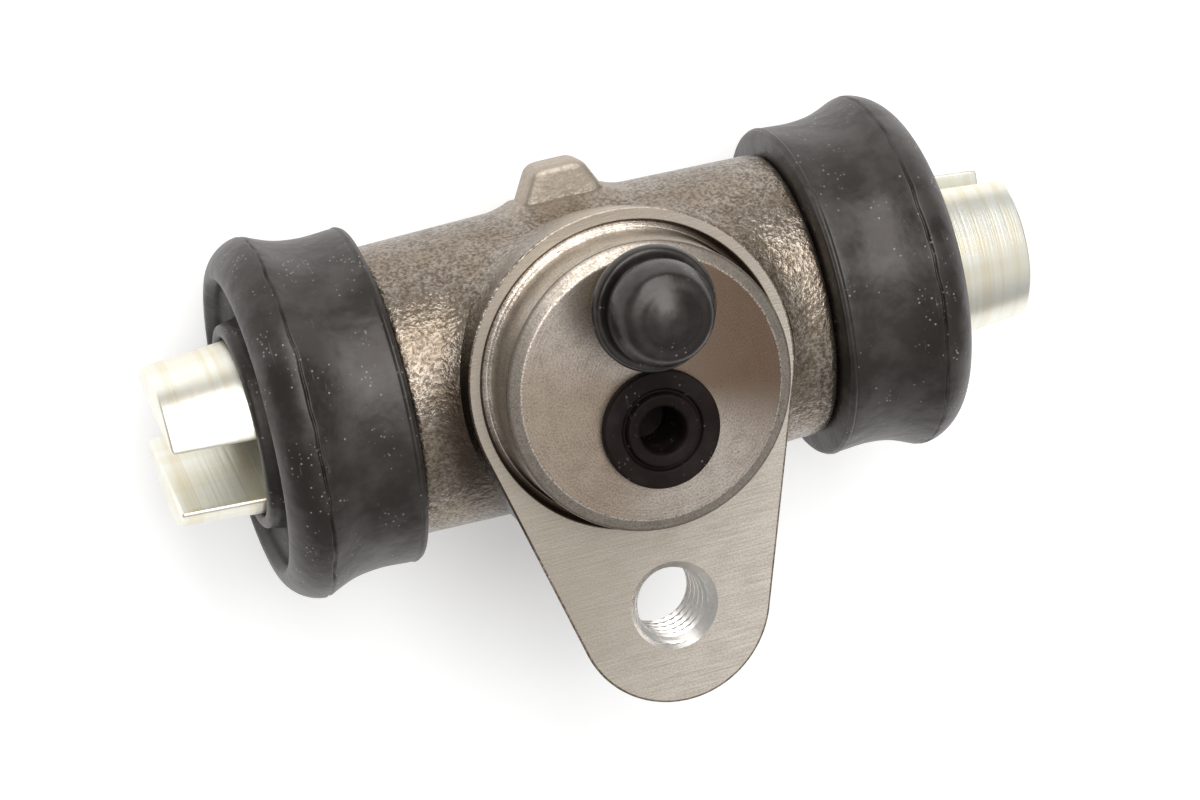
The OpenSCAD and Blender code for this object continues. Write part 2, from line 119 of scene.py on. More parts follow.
def grid_quads(rows, columns, first):
    """Corner numbers of a grid's quads, when its first point has the number first."""
    at = first + np.arange(rows * columns).reshape(rows, columns)
    return np.stack([at[:-1, :-1], at[:-1, 1:], at[1:, 1:], at[1:, :-1]], axis=-1).reshape(-1, 4)


def together(*parts):
    """Coordinates as points, after they are stretched to one shape."""
    return np.stack(np.broadcast_arrays(*parts), axis=-1)


def full_turn(count):
    """Angles that part a full turn evenly."""
    return np.linspace(0, 2 * math.pi, count, endpoint=False)


def into_scene(name, data):
    """A new object in the scene."""
    made = bpy.data.objects.new(name, data)
    bpy.context.scene.collection.objects.link(made)
    return made


def make_piece(name, groups, finishes):
    """One mesh object from grids of points in millimetres. groups has a list of grids for each finish."""
    grids = [grid for group in groups for grid in group]
    firsts = np.cumsum([0] + [grid.size // 3 for grid in grids[:-1]])
    quads = [grid_quads(*grid.shape[:2], first) for grid, first in zip(grids, firsts)]
    points = np.concatenate([grid.reshape(-1, 3) for grid in grids]) * MM
    numbers = np.repeat(np.arange(len(groups)), [len(group) for group in groups])
    numbers = np.repeat(numbers, [len(q) for q in quads])
    mesh = bpy.data.meshes.new(name)
    mesh.from_pydata(points.tolist(), [], np.concatenate(quads).tolist())
    mesh.polygons.foreach_set("material_index", numbers.astype(np.int32))
    work = bmesh.new()
    work.from_mesh(mesh)
    bmesh.ops.remove_doubles(work, verts=work.verts, dist=MERGE)
    bmesh.ops.recalc_face_normals(work, faces=work.faces)
    work.to_mesh(mesh)
    work.free()
    mesh.polygons.foreach_set("use_smooth", np.ones(len(mesh.polygons), bool))
    mesh.set_sharp_from_angle(angle=SMOOTH_UNDER)
    for finish in finishes:
        mesh.materials.append(finish)
    print(f"{name}: {sum(len(p.vertices) - 2 for p in mesh.polygons)} triangles")
    return into_scene(name, mesh)


def closed(loop):
    """The loop with its first point again at the end."""
    return np.concatenate([loop, loop[..., :1, :]], axis=-2)


def soft_corners(corners, steps=6):
    """A broken line of (radius, height, cut), each corner a parabola that starts and ends a cut away."""
    corners = np.asarray(corners, float)
    points, cuts = corners[:, :2], corners[:, 2, None, None]
    ways = [np.roll(points, k, axis=0) - points for k in (1, -1)]
    units = [way / np.maximum(np.linalg.norm(way, axis=1, keepdims=True), NO_LENGTH) for way in ways]
    start, end = [points[:, None] + unit[:, None] * cuts for unit in units]
    t = np.linspace(0, 1, steps)[None, :, None]
    curve = (1 - t) ** 2 * start + 2 * t * (1 - t) * points[:, None] + t ** 2 * end
    return curve.reshape(-1, 2)


def smooth_curve(points, steps=8):
    """Catmull-Rom curve: a cubic between each two points, with slopes from their neighbours."""
    p = np.asarray(points, float)
    a, b = np.vstack([p[:1], p[:-2]])[:, None], p[:-1][:, None]
    c, d = p[1:][:, None], np.vstack([p[2:], p[-1:]])[:, None]
    t = np.linspace(0, 1, steps, endpoint=False)[None, :, None]
    curve = b + 0.5 * t * (c - a + t * (2 * a - 5 * b + 4 * c - d + t * (3 * (b - c) + d - a)))
    return np.vstack([curve.reshape(-1, p.shape[1]), p[-1:]])


def resampled(line, step):
    """The line with extra points, so that no stretch is longer than about a step."""
    run = np.concatenate([[0], np.cumsum(np.linalg.norm(np.diff(line, axis=0), axis=1))])
    at = np.union1d(run, np.arange(0, run[-1], step))
    return np.stack([np.interp(at, run, line[:, k]) for k in range(line.shape[1])], axis=1)


def at_height(flat, z):
    """Points in plan, lifted to a height."""
    return np.concatenate([flat, np.broadcast_to(z, (*flat.shape[:-1], 1))], axis=-1)


def on_axis(radius, height, angles, centre_y=0.0):
    """Places radii and heights round an upright axis: (r cos a, y + r sin a, h)."""
    return closed(together(radius * np.cos(angles), centre_y + radius * np.sin(angles), height))


def turned_z(profile, angles, centre_y=0.0):
    """Carries a profile of (radius, height) round an upright axis."""
    return on_axis(profile[:, :1], profile[:, 1:], angles, centre_y)


def turned_x(profile, count, side=1):
    """Carries a profile of (radius, distance) round the bore: (d, r sin a, axis + r cos a)."""
    a, r, d = full_turn(count), profile[:, :1], profile[:, 1:]
    return closed(together(side * d, r * np.sin(a), axis_z + r * np.cos(a)))


def capped(loops):
    """A tube of loops and a disc at each end, whose two rows are the loop and its middle."""
    shut = np.array([1.0, 0.0])[:, None, None]
    discs = [loop.mean(axis=0) + (loop - loop.mean(axis=0)) * shut for loop in (loops[0], loops[-1])]
    return [closed(grid) for grid in (loops, *discs)]


# %% [markdown]
# ## Shader sums in plain Python
#
# A finish is a small sum: so much grain, so much dust, a little more shine here. Written with Blender's nodes
# it turns into a wall of calls, so a socket is wrapped in a class that knows plus, minus, times and divided
# by. Each operator adds one Math node, also when the plain number comes first, and one method makes every
# kind of node.


# %% The socket class and the finish
class Socket:
    """A node's output that Python's operators work on, each by adding a Math node."""

    def __init__(self, finish, link):
        self.finish, self.link = finish, link

    def math(self, operation, *values):
        return self.finish.node("Math", dict(enumerate(values)), {"operation": operation})

    def __add__(self, other):
        return self.math("ADD", self, other)

    def __sub__(self, other):
        return self.math("SUBTRACT", self, other)

    def __rsub__(self, other):
        return self.math("SUBTRACT", other, self)

    def __mul__(self, other):
        return self.math("MULTIPLY", self, other)

    def __truediv__(self, other):
        return self.math("DIVIDE", self, other)

    __radd__ = __add__
    __rmul__ = __mul__


class Tree:
    """A node tree whose nodes are all added by the method node."""

    def __init__(self, tree):
        self.tree = tree

    def node(self, kind, sockets=None, settings=None, output=0):
        """A new shader node: first its settings, then values or links for its sockets. Returns one output."""
        made = self.tree.nodes.new("ShaderNode" + kind)
        for key, value in (settings or {}).items():
            setattr(made, key, value)
        for key, value in (sockets or {}).items():
            self.put(made.inputs[key], value)
        return Socket(self, made.outputs[output])

    def put(self, socket, value):
        """Links a wrapped socket, or sets a plain number or colour."""
        if isinstance(value, Socket):
            self.tree.links.new(value.link, socket)
        else:
            socket.default_value = value

    def step(self, value, low, high):
        """0 below low, 1 above high, and a smooth rise between them."""
        return self.node("MapRange", {"Value": value, "From Min": low, "From Max": high},
                         {"interpolation_type": "SMOOTHSTEP"})

    def near(self, value, at, inner, outer):
        """1 where the value is within inner of at, 0 where it is outer or more away."""
        off = value - at
        return 1 - self.step(off.math("ABSOLUTE", off), inner, outer)

    def axes(self, place):
        """The three parts of a vector."""
        parts = self.node("SeparateXYZ", {"Vector": place}).link.node.outputs
        return [Socket(self, part) for part in parts]

    def seen(self):
        """1 for rays from the camera, in reflections and through glass, 0 for those that only carry light."""
        rays = [self.node("LightPath", output=f"Is {kind} Ray")
                for kind in ("Camera", "Glossy", "Transmission")]
        total = rays[0] + rays[1] + rays[2]
        return total.math("MINIMUM", total, 1.0)


class Finish(Tree):
    """A material with one main shader."""

    def __init__(self, name):
        self.material = bpy.data.materials.new(name)
        self.material.use_nodes = True
        super().__init__(self.material.node_tree)
        self.shader = self.tree.nodes["Principled BSDF"]
        self.place = self.node("TexCoord", output="Object")

    def set(self, **values):
        """Sets the main shader's sockets, with _ for a space in their names."""
        for key, value in values.items():
            self.put(self.shader.inputs[key.replace("_", " ")], value)

    def where(self):
        """x, y, z and the distance from the spigot's axis, in millimetres."""
        x, y, z = [part / MM for part in self.axes(self.place)]
        square = x * x + y * y
        return x, y, z, square.math("SQRT", square)

    def clouds(self, vector, scale=1.0, detail=2.0, roughness=0.5):
        """Cloudy noise from 0 to 1, at a vector times a scale."""
        return self.node("TexNoise", {"Vector": vector, "Scale": scale, "Detail": detail,
                                      "Roughness": roughness})

    def noise(self, size_mm, detail=2.0, roughness=0.5):
        """Noise whose blobs are about size_mm across."""
        return self.clouds(self.place, 1 / (size_mm * MM), detail, roughness)

    def streaks(self, sizes_mm, turn_deg=(0, 0, 0), detail=2.0):
        """Noise in coordinates that are turned and divided by a size for each axis."""
        turn = tuple(math.radians(angle) for angle in turn_deg)
        scale = tuple(1 / (size * MM) for size in sizes_mm)
        at = self.node("Mapping", {"Vector": self.place, "Rotation": turn, "Scale": scale})
        return self.clouds(at, detail=detail)

    def dots(self, cell_mm, radius):
        """1 in round dots, one a cell of about cell_mm, with a radius that is a share of the cell."""
        away = self.node("TexVoronoi", {"Vector": self.place, "Scale": 1 / (cell_mm * MM)})
        return 1 - self.step(away, radius / 2, radius)

    def tint(self, share, first, second):
        """A colour between two, by a share from 0 to 1."""
        return self.node("Mix", {"Factor": share, 6: colour(first), 7: colour(second)},
                         {"data_type": "RGBA"}, output=2)

    def bump(self, height, depth_mm):
        """A normal as if the surface stood up by depth_mm times the height."""
        return self.node("Bump", {"Height": height, "Distance": depth_mm * MM})


def colour(value):
    """A colour with its alpha, or a wrapped socket as it is."""
    return value if isinstance(value, Socket) else (*value, 1.0)


# %% [markdown]
# ## The cast skin
#
# Iron that has been poured into sand keeps the sand's grain: bumps of about half a millimetre that glint
# where they face the light. After shot blasting it is bare metal, grey with a brown cast. Two sizes of noise
# give the bumps, and the pits between them stay darker and duller than the tops. The lug is smoother, and
# paler as painted light, and painted shade darkens the corner left of the flange.

# %% Cast skin
def cast_finish():
    """Blasted cast iron: two sizes of bumps, dark pits, brown stains, a smoother lug with painted light, and
    painted shade left of the flange.
    """
    skin = Finish("cast_skin")
    pit, brown, grey = (0.140, 0.108, 0.080), (0.260, 0.213, 0.165), (0.345, 0.305, 0.260)
    painted_light_tone, painted_shade = (0.480, 0.420, 0.350), (0.055, 0.040, 0.029)
    fine, coarse = skin.noise(0.34, 2, 0.6), skin.noise(1.0, 2, 0.5)
    grain = fine * 0.35 + coarse * 0.65
    tops = skin.step(fine * 0.75 + coarse * 0.25, 0.36, 0.62)
    stain = skin.step(skin.noise(5, 3), 0.35, 0.7)
    x, y, z, radius = skin.where()
    # Painted shade: the barrel darker in the corner left of the flange.
    shaded_corner = (1 - skin.step(x, -7, 0)) * (1 - skin.step(y, 1, 9))
    painted_shade_mask = (1 - skin.step(radius, 17.2, 21.0)) * shaded_corner * skin.step(z, -12.5, -10.5)
    # The lug: smoother, and paler as painted light.
    smooth_lug_painted_light = skin.step(y, 13.8, 16.2) * skin.near(x, 0, 6, 8)
    base = skin.tint(tops, pit, skin.tint(stain, brown, grey))
    base = skin.tint(smooth_lug_painted_light * 0.8, base, painted_light_tone)
    skin.set(Base_Color=skin.tint(painted_shade_mask * 0.95, base, painted_shade), Metallic=0.92,
             Roughness=0.38 - 0.12 * tops + 0.24 * smooth_lug_painted_light,
             Normal=skin.bump(grain * (1 - 0.7 * smooth_lug_painted_light), 0.24))
    return skin.material


cast_skin = cast_finish()
print("made", cast_skin.name)

# %% [markdown]
# ## The machined faces
#
# The mounting face is milled: a cutter crosses it and leaves fine straight lines. The spigot is turned on a
# lathe, so its marks are rings round its own axis. Both are the same bare iron, brighter than the cast skin
# and much smoother. A streak is noise that is squeezed along one direction, and a ring is noise read by
# radius. The sizes of the chamfer and the relief groove stand here, because the finish changes with them.

# %% Machined iron
chamfer_w, chamfer_h = 1.2, 0.65
groove_r, groove_slope, relief_depth, foot_h = 14.85, 0.45, 0.9, 0.8


def milled_finish():
    """Milled iron: faint cutter lines, a few scratches, the iron's grain under them, and painted light:
    lighter to the right and towards the tail.
    """
    face = Finish("milled_iron")
    painted_shade_tone, bright = (0.450, 0.400, 0.340), (0.730, 0.665, 0.590)
    valley, scratched = (0.330, 0.285, 0.235), (0.26, 0.22, 0.18)
    x, y, _, _ = face.where()
    lines = face.streaks((5.0, 0.16, 5.0), (0, 0, -28), 3.0)
    scratches = face.step(face.streaks((7.0, 0.25, 7.0), (0, 0, 6)), 0.66, 0.74)
    cloud = face.noise(2.2, 3)
    grain = face.noise(0.20, 2, 0.65)
    marks = face.step(lines * 0.4 + grain * 0.45 + cloud * 0.15, 0.34, 0.66)
    # Painted light: the face lighter to the right and towards the tail, darker to the left.
    base = face.tint(face.step(x * 0.8 - y * 0.6, 2, 24), painted_shade_tone, bright)
    base = face.tint(marks * 0.7 + 0.3, valley, base)
    face.set(Base_Color=face.tint(scratches * 0.35, base, scratched), Metallic=0.95,
             Roughness=0.46 - 0.10 * marks, Normal=face.bump(lines * 0.4 + grain * 0.6, 0.03))
    return face.material


def turned_finish():
    """Turned iron: rings by radius and height, pores, a painted highlight and painted shade in the groove,
    painted shade at the chamfer's foot, a painted highlight line at the face's edge, painted light that
    makes the face lighter to the left, and a painted sheen across the rings like a bow tie: the squared
    cosine between a point's direction and its own."""
    ring = Finish("turned_iron")
    # Some colours here are painted light: the sheen, the groove's highlight and the lighter left side. Others
    # are painted shade: the darker right side, the groove's shadow and the dark lines.
    left_painted_light, right_painted_shade, painted_sheen = (0.380, 0.310, 0.246), (0.135, 0.086, 0.057), (0.500, 0.445, 0.395)
    bevel, side, bright = (0.440, 0.395, 0.340), (0.520, 0.470, 0.400), (0.850, 0.800, 0.740)
    shadow, valley, dark_marks_and_shade = (0.075, 0.056, 0.042), (0.150, 0.115, 0.088), (0.110, 0.088, 0.070)
    painted_light_tone = (0.66, 0.61, 0.56)
    ring_mm, soften, bevel_r = 0.13, 0.1, spigot_r - chamfer_w
    x, y, z, radius = ring.where()
    rings = ring.clouds(ring.node("CombineXYZ", {"X": radius / ring_mm, "Z": z / ring_mm}))
    grain = ring.noise(0.20, 2, 0.7)
    cloud = ring.noise(1.6, 3)
    scratches = ring.step(ring.streaks((0.25, 4.0, 4.0), (0, 0, 25)), 0.70, 0.78)
    pores = ring.dots(0.9, 0.16) * ring.step(cloud, 0.45, 0.6)
    # Painted sheen: a bow tie of lighter colour across the rings.
    across = (x * 0.376 - y * 0.926) / (radius + soften)
    # Painted light in the groove: lit on its upper left side, painted shade elsewhere.
    lit_side_painted = ring.step((y * 0.77 - x * 0.64) / (radius + soften), 0.0, 0.7)
    marks = ring.step(rings * 0.25 + grain * 0.55 + cloud * 0.2, 0.36, 0.62)
    wall = 1 - ring.step(z, 5.0, 5.3)
    rim = ring.step(radius, bevel_r, bevel_r + 0.1)
    deep = 1 - ring.step(z, -0.35, 0.1)
    # Painted shade along the groove's outer edge.
    edge = ring.near(radius, groove_r - 0.10, 0.10, 0.24)
    # Painted highlight: a pale broken line along the face's edge.
    line = ring.near(radius, bevel_r, 0.03, 0.12) * ring.step(grain, 0.42, 0.55)
    # Painted shade: a dark line where the wall meets the chamfer.
    painted_crease_shade = ring.near(z, spigot_h - chamfer_h, 0.06, 0.20)
    # Painted light: the face lighter to the left and darker to the right.
    painted_side_light = ring.tint(ring.step(x, -11, 11), left_painted_light, right_painted_shade)
    base = ring.tint(ring.step(across * across, 0.20, 1.0), painted_side_light, painted_sheen)
    base = ring.tint(wall * rim, ring.tint(rim, base, bevel), side)
    base = ring.tint(deep * lit_side_painted, base, bright)
    base = ring.tint(edge + deep * (1 - lit_side_painted), base, shadow)
    base = ring.tint(marks * 0.65 + 0.35, valley, base)
    base = ring.tint(scratches * 0.5 + pores * 0.6 + painted_crease_shade * 0.6, base, dark_marks_and_shade)
    ring.set(Base_Color=ring.tint(line * 0.6, base, painted_light_tone), Metallic=0.95,
             Roughness=0.44 - 0.12 * marks - 0.14 * deep,
             Normal=ring.bump(rings * 0.4 + grain * 0.6, 0.03))
    return ring.material


def cut_finish():
    """Freshly cut iron, as in a tapped thread: bright, with a fine grain."""
    bright = Finish("cut_iron")
    grain = bright.noise(0.3, 2)
    bright.set(Base_Color=bright.tint(grain, (0.66, 0.63, 0.59), (0.86, 0.84, 0.81)), Metallic=1.0,
               Roughness=0.26 + 0.14 * grain)
    return bright.material


milled_iron = milled_finish()
turned_iron = turned_finish()
cut_iron = cut_finish()
print("made", milled_iron.name, turned_iron.name, cut_iron.name)

# %% [markdown]
# ## Rubber
#
# Moulded rubber is almost black, with a soft sheen. What makes it look real is what lies on it: pale dust
# that clings in specks, faint scuffs, and broad patches where the mould's release agent has dried to a thin
# gloss. The patches are a coat over the rubber, so they show only where light falls on them.

# %% Rubber
def rubber_finish(name, base, dust, sheen, gloss):
    """Black rubber with specks, scuffs and patches. dust is how pale they are, sheen the roughness, and
    gloss the strength of the mirror part and of the patches' coat."""
    rubber = Finish(name)
    clouds = rubber.step(rubber.noise(3.5, 3, 0.6), 0.52, 0.64)
    specks = rubber.dots(0.55, 0.24) * clouds + rubber.dots(2.2, 0.06)
    scuffs = rubber.step(rubber.streaks((0.25, 4.0, 2.5), (20, 8, 24)), 0.66, 0.72) * clouds
    patches = rubber.step(rubber.noise(6, 4, 0.62), 0.42, 0.68)
    grain = rubber.noise(0.3, 2)
    pale = specks * (0.60 * dust) + scuffs * (0.16 * dust) + patches * (0.03 * dust)
    dusty, warm_light = (0.34, 0.315, 0.29), (1.0, 0.93, 0.88, 1.0)
    rubber.set(Base_Color=rubber.tint(pale, base, dusty), Specular_IOR_Level=gloss,
               Specular_Tint=warm_light, Roughness=sheen + 0.14 * patches + 0.06 * grain,
               Coat_Weight=patches * gloss, Coat_Roughness=sheen,
               Normal=rubber.bump(grain * 0.06 + rubber.noise(2.5, 2), 0.16))
    return rubber.material


boot_rubber = rubber_finish("boot_rubber", (0.0105, 0.0073, 0.0061), 1.0, 0.36, 0.50)
cap_rubber = rubber_finish("cap_rubber", (0.0085, 0.0064, 0.0056), 0.7, 0.27, 0.44)
plug_rubber = rubber_finish("plug_rubber", (0.0085, 0.0052, 0.0046), 0.6, 0.50, 0.10)
print("made", boot_rubber.name, cap_rubber.name, plug_rubber.name)

# %% [markdown]
# ## Plated steel
#
# The pistons are turned from bar and zinc plated. Fresh zinc is bright, with a breath of yellow and green
# from its passivation, and the lathe's feed marks show through as fine rings along the bore. The bleeder
# screw has the yellow kind of the same plate. Springs and pressed cups are bare steel.

# %% Plated and bare steel
def plated_finish(name, bright, tinge, sheen):
    """Zinc plate on turned steel: rings and bands of a tinge, and a soft grain."""
    plate = Finish(name)
    feed = plate.streaks((0.20, 30.0, 30.0))
    bands = plate.step(plate.streaks((40.0, 3.0, 3.0)), 0.42, 0.62)
    rings = plate.step(plate.streaks((0.9, 40.0, 40.0)), 0.48, 0.64)
    cloud = plate.noise(3.5, 3)
    grain = plate.noise(0.25, 2)
    share = bands * 0.35 + rings * 0.4 + cloud * 0.25
    plate.set(Base_Color=plate.tint(share, bright, tinge), Metallic=0.9,
              Roughness=sheen + 0.12 * cloud + 0.08 * grain + 0.10 * feed,
              Normal=plate.bump(feed * 0.8 + grain * 0.2, 0.02))
    return plate.material


zinc_plate = plated_finish("zinc_plate", (0.85, 0.86, 0.80), (0.75, 0.68, 0.51), 0.18)
yellow_plate = plated_finish("yellow_plate", (0.50, 0.36, 0.12), (0.42, 0.31, 0.14), 0.24)
spring_steel = plated_finish("spring_steel", (0.52, 0.52, 0.53), (0.42, 0.41, 0.40), 0.26)
print("made", zinc_plate.name, yellow_plate.name, spring_steel.name)

# %% [markdown]
# ## How two cast forms melt into each other
#
# A foundry never leaves a sharp inside corner, because sand crumbles there and iron cracks there. So where
# the barrel meets the flange there is a fillet. It could be modelled as one blended skin, but it is easier to
# swell each surface a little where it comes near the other: by a quarter of the fillet's reach where they
# meet, and less with the square of the gap. For that, each form needs a formula for its distance from any
# point.

# %% Distances to the barrel, the flange and the lug
barrel_half = 21.0
barrel_crown = 0.5
barrel_end_r = barrel_mid_r - barrel_crown
flange_r = 16.1
flange_draft = 1.3
lug_top_w, lug_len, lug_slope = 4.9, 4.5, math.tan(math.radians(28))
lug_top = body_high[1]
flank_sine = (flange_r - tail_r) / -bolt_y
flank_cosine = math.sqrt(1 - flank_sine ** 2)


def barrel_gap(p):
    """Distance from the bore axis, less the barrel's radius, which falls to its ends."""
    radius = barrel_mid_r - barrel_crown * np.abs(p[..., 0]) / barrel_half
    return np.hypot(p[..., 1], p[..., 2] - axis_z) - radius


def flange_gap(p):
    """Distance from the drafted teardrop: its round end, its tail or its flank, whichever faces the point."""
    x, y, z = np.abs(p[..., 0]), -p[..., 1], p[..., 2]
    along = flank_cosine * y - flank_sine * x
    flank = flank_cosine * x + flank_sine * y - flange_r
    side = np.where(along < 0, np.hypot(x, y) - flange_r, flank)
    side = np.where(along > -flank_cosine * bolt_y, np.hypot(x, y + bolt_y) - tail_r, side)
    side = side - flange_draft * np.clip(z / flange_t, -1, 0)
    under = -flange_t - z
    return np.where(under > 0, np.hypot(np.maximum(side, 0), under), side)


def lug_gap(p):
    """Distance in plan from the lug, a box that widens towards the barrel."""
    wide = np.abs(p[..., 0]) - lug_top_w / 2 - lug_slope * (lug_top - p[..., 1])
    deep = np.abs(p[..., 2] - axis_z) - lug_len / 2
    away = np.hypot(np.maximum(wide, 0), np.maximum(deep, 0))
    return np.where(p[..., 1] > 0, away, barrel_mid_r)


def swollen(points, outwards, gap, reach):
    """The points moved outwards by reach/4 times (1 - gap/reach) squared, where the gap is within reach."""
    swell = reach / 4 * np.clip(1 - np.abs(gap) / reach, 0, 1) ** 2
    return points + outwards * swell[..., None]


# %% [markdown]
# ## The barrel
#
# The barrel is a turned shape: one outline carried round the bore axis. The outline runs along the drafted
# outside, down the shoulder to the neck that holds the boot, over the mouth and back through the bore. Before
# it is made a mesh, its outside swells towards the flange and the lug.

# %% Cast barrel
bore_r = 8.73
neck_r = 13.13
bore_chamfer = 0.6
fillet_reach, lug_reach = 3.2, 2.6
skin_step, bore_step, skin_depth, hair = 0.45, 3.0, 0.9, 0.01


def cast_barrel(columns=280):
    """The barrel's outline turned round the bore axis, its cast outside swollen at the flange and lug."""
    half = soft_corners([
        (barrel_mid_r, 0, 0), (barrel_end_r, barrel_half, 0.7), (neck_r, barrel_half, 0.3),
        (neck_r, bore_half, 0.4), (bore_r + bore_chamfer, bore_half, 0.15),
        (bore_r, bore_half - bore_chamfer, 0.15), (bore_r, 0, 0)])
    mouth = np.flatnonzero(half[:, 0] < bore_r + hair)[0]
    half = np.vstack([resampled(half[:mouth], skin_step), resampled(half[mouth:], bore_step)])
    grid = np.concatenate([turned_x(half[::-1] * (1, -1), columns), turned_x(half, columns)])
    radial = grid * (0, 1, 1) - (0, 0, axis_z)
    outwards = radial / np.linalg.norm(radial, axis=-1, keepdims=True)
    outside = barrel_gap(grid) > -skin_depth
    for gap, reach in ((flange_gap(grid), fillet_reach), (lug_gap(grid), lug_reach)):
        grid = swollen(grid, outwards * outside[..., None], gap, reach)
    return grid


barrel = make_piece("cast_barrel", [[cast_barrel()]], [cast_skin])

# %% [markdown]
# ## A flat face with two holes
#
# The mounting face has the spigot in it and the bolt hole, and the spigot's own face has two ports. A disc
# with one hole is an easy grid, because rays from the hole's circle reach the edge. With two holes, a
# straight bridge across the face cuts it in two such discs, and both sides use the same points on the bridge,
# so that no crack is left.

# %% Face with two holes
def split_face(loop, level, holes, height, rays=None, rows=4, cross=56):
    """A flat face inside a loop, cut at the level y, with a round hole (centre y, radius) in each half.
    A half is a grid of rays from its hole to its edge, which start at their own angles or at given ones.
    Returns both grids and the angles."""
    above = loop[:, 1] >= level
    loop = np.roll(loop, -np.flatnonzero(above & ~np.roll(above, 1))[0], axis=0)
    count = np.count_nonzero(above)
    first, last = loop[0], loop[count - 1]
    bridge = last + (first - last) * np.linspace(0, 1, cross + 2)[1:-1, None]
    edges = [np.vstack([loop[:count], bridge]), np.vstack([loop[count - 1:], loop[:1], bridge[::-1]])]
    if rays is None:
        rays = [np.arctan2(edge[:, 1] - centre, edge[:, 0]) for edge, (centre, _) in zip(edges, holes)]
    share = np.linspace(0, 1, rows)[:, None, None]
    grids = []
    for edge, angles, (centre, radius) in zip(edges, rays, holes):
        circle = together(radius * np.cos(angles), centre + radius * np.sin(angles))
        grids.append(closed(at_height(circle + (edge - circle) * share, height)))
    return grids, rays


# %% [markdown]
# ## The flange, its spigot and its holes
#
# Flange, spigot and ports are one closed skin. The rim is the teardrop's outline carried down a drafted
# profile, with a crisp edge at the milled face and a softer one at the cast back. The groove, the spigot's
# wall and its chamfer are turned. The bolt hole is a true helix: its radius grows and shrinks with the height
# plus the share of a turn, so that one formula cuts the whole thread, and the countersinks are wider and win.
# Inside, the skin stops just outside the bore, so that the cups have room to slide.

# %% Teardrop outline and thread
thread_steep, thread_flat = 1.7, 0.35


def teardrop(top_count=190, flank_count=22, bottom_count=110):
    """The flange's outline and its outward normals: two arcs, and two flanks down which the circle's
    centre and radius go from the big one's to the small one's while the normal stays."""
    lean = math.asin(flank_sine)
    top = np.linspace(-lean, math.pi + lean, top_count)
    bottom = np.linspace(math.pi + lean, 2 * math.pi - lean, bottom_count)
    angles = np.concatenate([top, np.full(flank_count, top[-1]), bottom, np.full(flank_count, top[0])])
    outwards = together(np.cos(angles), np.sin(angles))
    share = np.linspace(0, 1, flank_count + 2)[1:-1]
    down = np.concatenate([np.zeros(top_count), share, np.ones(bottom_count), 1 - share])[:, None]
    return outwards * (flange_r + (tail_r - flange_r) * down) + down * (0, bolt_y), outwards


def thread(angles, top, bottom, radius, depth, pitch, sinks, rows):
    """A tapped hole: the radius swings between radius and radius + depth with height/pitch + angle/turn,
    with flat crests and roots. 45 degree countersinks at the top and bottom win over it."""
    z = np.linspace(top, bottom, rows)[:, None]
    swing = np.abs(2 * ((z / pitch - angles / (2 * math.pi)) % 1) - 1)
    wall = radius + depth * np.clip(thread_steep * swing - thread_flat, 0, 1)
    wall = np.maximum(wall, radius + sinks[0] - (top - z))
    wall = np.maximum(wall, radius + sinks[1] - (z - bottom))
    return np.broadcast_arrays(wall, z)


# %% Flange and spigot
rim_land, rim_cut, back_land, back_cut, milled_depth = 0.25, 0.22, 0.55, 0.5, 0.4
groove_land, groove_cut, spigot_cut, face_cut, face_land = 0.12, 0.08, 0.12, 0.2, 0.2
bed_places = ((0.3, 3 / 4), (0.12, 1 / 2), (0.04, 0))  # off the spigot's wall, share of the groove's depth
boss_r, boss_fillet, boss_step = 12.5, 1.6, 1.1
bolt_sink, bolt_thread, bolt_pitch, bolt_rows = 0.95, 0.56, 1.25, 170
inlet_r, inlet_depth, inlet_thread, inlet_pitch, inlet_sink, inlet_rows = 4.5, 9.5, 0.4, 1.0, 0.2, 130
feed_r, bleed_r, bleed_depth, vent_r = 1.5, 3.0, 9.0, 1.2
face_level, port_level = -16.6, 3.2
roof_near, roof_far = 0.1, 0.6


def flange_rim():
    """The teardrop carried down the rim's profile, with its cast part swollen towards the barrel."""
    outline, outwards = teardrop()
    rim = soft_corners([(-rim_land, 0, 0), (0, 0, rim_cut), (-flange_draft, -flange_t, back_cut),
                        (-flange_draft - back_land, -flange_t, 0)])
    rim = resampled(rim, skin_step)
    walls = at_height(closed(outline + rim[:, None, :1] * outwards), rim[:, None, 1:])
    ways = closed(at_height(outwards, 0.0)) * (walls[..., 2:] < -milled_depth)
    return swollen(walls, ways, barrel_gap(walls), fillet_reach)


def clear_of_bore(p):
    """Lifts what would lie in the bore, at the same y: distances from the bore axis up to
    bore_r + roof_far are squeezed between bore_r + roof_near and bore_r + roof_far."""
    away = np.hypot(p[..., 1], p[..., 2] - axis_z)
    low, high = bore_r + roof_near, bore_r + roof_far
    squeezed = low + away / high * (high - low)
    z = axis_z + np.sqrt(np.maximum(squeezed ** 2 - p[..., 1] ** 2, 0))
    return at_height(p[..., :2], np.where(away < high, z, p[..., 2])[..., None])


